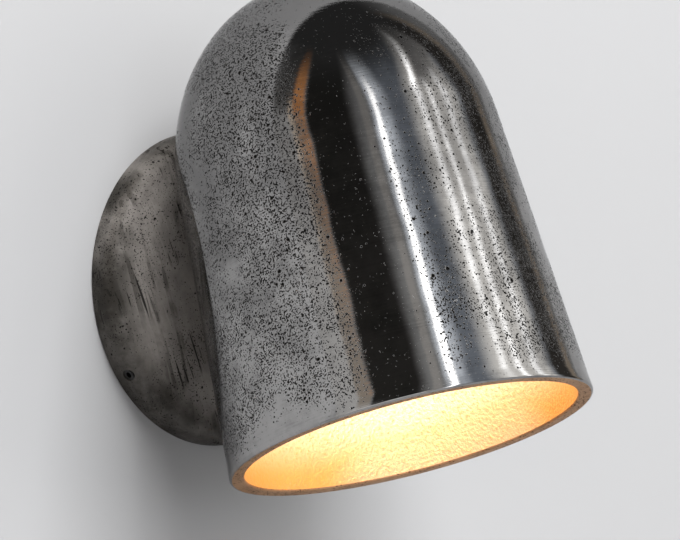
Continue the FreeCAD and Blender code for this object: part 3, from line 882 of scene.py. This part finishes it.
def stage_sheet(name, corners, faces):
    mesh = bpy.data.meshes.new(name)
    mesh.from_pydata(corners, [], faces)
    mesh.materials.append(paint)
    sheet = bpy.data.objects.new(name, mesh)
    bpy.context.scene.collection.objects.link(sheet)


hole_turns = [HOLE_START + math.pi / 2 * k / HOLE_QUARTER for k in range(4 * HOLE_QUARTER)]
wall_outline = [(-half, floor_z), (half, floor_z), (half, wall_top), (-half, wall_top)]
wall_corners = [(x, wall_y, z) for x, z in wall_outline]
wall_corners += [(hole_radius * math.cos(t), wall_y, hole_radius * math.sin(t)) for t in hole_turns]
wall_faces = []
for q in range(4):
    arc = [4 + k % len(hole_turns) for k in range(HOLE_QUARTER * q, HOLE_QUARTER * (q + 1) + 1)]
    wall_faces.append([q, (q + 1) % 4, *reversed(arc)])
stage_sheet("wall", wall_corners, wall_faces)
floor_outline = [(-half, -2 * half), (half, -2 * half), (half, half), (-half, half)]
stage_sheet("floor", [(x, y, floor_z) for x, y in floor_outline], [(0, 1, 2, 3)])
print("stage: wall and floor")

# %% [markdown]
# ## The room's light
# Polished metal shows the room, so the room decides how the shade looks. It could be built of panels and
# lamps, but here it is drawn by direction on the world: each feature is a soft-edged band between two
# headings in degrees, 0 straight out from the wall and positive to the right, and some are only at certain
# heights above the horizon. The two windows lean over higher up. Everything fades towards a dark ceiling.

# %% Bands of the room
PEAK = 6.0
ZENITH, NADIR = 91, -91


def band(tree, angle, start, end, soft_before, soft_after):
    """1 between two angles in degrees, with soft edges outside them."""
    rise = step_up(tree, angle, start - soft_before, start)
    fall = step_up(tree, angle, end, end + soft_after)
    return times(tree, rise, left_over(tree, fall))


def leaning(tree, heading, height, start, slope):
    """Heading of a line that stands upright up to a height and leans over above it."""
    above = sums(tree, "MAXIMUM", sums(tree, "SUBTRACT", height, start), 0.0)
    return scaled(tree, above, slope, heading)


def at_heights(tree, height, start, end, soft_below, soft_above, least=0.0):
    """1 between two heights, and down to the least value elsewhere."""
    return scaled(tree, band(tree, height, start, end, soft_below, soft_above), 1.0 - least, least)


def dimmed(colour):
    """A colour of the room before the background's strength is put on."""
    return tuple(v / PEAK for v in colour)


print("brightest feature:", PEAK)

# %% [markdown]
# The features follow in the order in which they are painted over each other. On the left are a pale side wall
# with a low window, a wooden post that is lit orange higher up, and a dark doorway. Then come a tall window
# with a bright strip, a grey wall, a second window with three strips, and a dark corner with a warm edge.

# %% The room's features
POST_TONES = ((0.46, 0.40, 0.34), (0.95, 0.43, 0.17))
POST_LIT_FROM = (27, 31)
ALL_HEIGHTS = None
room_features = {
    "side wall": ("upright", (-100, -81, 2, 2), (NADIR, 25, 1, 8), (0.72, 0.71, 0.70)),
    "shadow by the post": ("upright", (-94, -80, 8, 1), (36, ZENITH, 6, 1), (0.14, 0.135, 0.13)),
    "post": ("upright", (-80, -73, 1.5, 1.5), ALL_HEIGHTS, POST_TONES),
    "lit post edge": ("upright", (-83, -81, 1, 1), (28, 34, 2.5, 4), (1.3, 1.05, 0.80)),
    "low window": ("upright", (-80, -30, 5, 15), (-12, 6, 5, 16), (1.1, 1.1, 1.1)),
    "grey wall": ("upright", (-14, 64, 6, 6), ALL_HEIGHTS, (0.28, 0.31, 0.36)),
    "doorway": ("upright", (-70, -42, 2, 12), (22, ZENITH, 18, 1), (0.035, 0.033, 0.031)),
    "window frame": ("first", (-29, -25, 2, 2), ALL_HEIGHTS, (0.52, 0.50, 0.48)),
    "first window": ("first", (-20, -12, 3, 12), (38, ZENITH, 5, 1, 0.6), (1.30, 1.38, 1.50)),
    "its strip": ("first", (-17.5, -14.5, 1.2, 1.5), (NADIR, 34, 1, 22), (6.0, 6.0, 6.0)),
    "second window": ("second", (22, 58, 15, 9), ALL_HEIGHTS, (1.28, 1.25, 1.20)),
    "near strip": ("second", (23.5, 27.5, 1.5, 1.5), (35, ZENITH, 4, 1, 0.3), (3.0, 3.0, 3.0)),
    "near strip's top": ("second", (23.5, 27.5, 1.5, 1.5), (46, 48, 10, 12), (6.0, 6.0, 6.0)),
    "middle strip": ("second", (36, 38, 1.5, 1.5), ALL_HEIGHTS, (3.4, 3.4, 3.4)),
    "far strip": ("second", (50, 53, 2, 2), ALL_HEIGHTS, (2.7, 2.7, 2.7)),
    "shaded top": ("second", (34, 58, 4, 9), (44, ZENITH, 10, 1), (0.40, 0.39, 0.38)),
    "dark corner": ("upright", (69, 80, 3, 14), ALL_HEIGHTS, (0.06, 0.055, 0.05)),
    "warm edge": ("upright", (85, 89, 2, 2), ALL_HEIGHTS, (0.42, 0.35, 0.28)),
}
print("features of the room:", len(room_features))

# %% Draw the room
ROOM_TONE = (0.36, 0.36, 0.36)
CEILING_TONE = (0.06, 0.06, 0.06)
CEILING_FROM = (40, 70)
FIRST_LEAN = (38, 0.25)
SECOND_LEAN = (42, -1.1)


def compass_world():
    world = bpy.data.worlds.new("studio_room")
    world.use_nodes = True
    tree = world.node_tree
    x, y, z = along_axes(tree, add(tree, "ShaderNodeTexCoord").outputs["Generated"])
    heading = sums(tree, "DEGREES", sums(tree, "ARCTAN2", x, times(tree, y, -1.0)))
    height = sums(tree, "DEGREES", sums(tree, "ARCSINE", z))
    lines = {
        "upright": heading,
        "first": leaning(tree, heading, height, *FIRST_LEAN),
        "second": leaning(tree, heading, height, *SECOND_LEAN),
    }
    low_tone, high_tone = (dimmed(tone) for tone in POST_TONES)
    post_tone = blend_colour(tree, step_up(tree, height, *POST_LIT_FROM), low_tone, high_tone)
    room = dimmed(ROOM_TONE)
    for line, headings, heights, colour in room_features.values():
        mask = band(tree, lines[line], *headings)
        if heights is not ALL_HEIGHTS:
            mask = times(tree, mask, at_heights(tree, height, *heights))
        tone = post_tone if colour is POST_TONES else dimmed(colour)
        room = blend_colour(tree, mask, room, tone)
    ceiling = step_up(tree, height, *CEILING_FROM)
    background = tree.nodes["Background"]
    feed(tree, background.inputs["Color"], blend_colour(tree, ceiling, room, dimmed(CEILING_TONE)))
    background.inputs["Strength"].default_value = PEAK
    return world


bpy.context.scene.world = compass_world()
print("world:", bpy.context.scene.world.name)

# %% [markdown]
# A lamp above lights the wall and gives the shadow. It is large, so that the shadow's edge is soft. The metal
# doesn't show it: in a mirror this smooth it would only be one more white patch.

# %% Light the wall
key_target = Vector((0, 0, -0.02))
key = bpy.data.objects.new("key_light", bpy.data.lights.new("key_light", "AREA"))
key.data.size = 1.9
key.data.energy = 205
key.location = (-0.25, -1.7, 2.5)
key.rotation_euler = (key_target - key.location).to_track_quat("-Z", "Y").to_euler()
key.visible_glossy = False
bpy.context.scene.collection.objects.link(key)
print("light:", key.name)

# %% [markdown]
# ## The camera
# The photograph was taken from the left with a long lens, about level with the plate and turned a little in
# the hand. The camera could be moved until the picture looks right, but its place was worked out from the
# outlines of the plate and the mouth, so the numbers below are measured ones.

# %% Set the camera
camera_left = math.radians(43.9)
camera_below = math.radians(3.0)
camera_roll = math.radians(-2.8)
camera_distance = 1.5045
focal_pixels = 4500
frame_pixels = 680
aim_right, aim_up = 131.5, 18.6

back = Vector((
    -math.sin(camera_left) * math.cos(camera_below),
    -math.cos(camera_left) * math.cos(camera_below),
    -math.sin(camera_below),
))
level_right = (-back).cross(Vector((0, 0, 1))).normalized()
level_up = level_right.cross(-back)
right = math.cos(camera_roll) * level_right + math.sin(camera_roll) * level_up
up = -math.sin(camera_roll) * level_right + math.cos(camera_roll) * level_up
ahead = (-back + right * aim_right / focal_pixels + up * aim_up / focal_pixels).normalized()
right = (right - ahead * right.dot(ahead)).normalized()
up = right.cross(ahead)
camera = bpy.data.objects.new("camera", bpy.data.cameras.new("camera"))
camera.data.sensor_width = 36
camera.data.lens = focal_pixels * camera.data.sensor_width / frame_pixels
camera_turn = Matrix((right, up, -ahead)).transposed().to_4x4()
camera.matrix_world = Matrix.Translation(back * camera_distance) @ camera_turn
bpy.context.scene.collection.objects.link(camera)
bpy.context.scene.camera = camera
bpy.context.scene.view_settings.view_transform = "Standard"
print("camera at", [round(v, 3) for v in camera.location], "lens", round(camera.data.lens, 1))
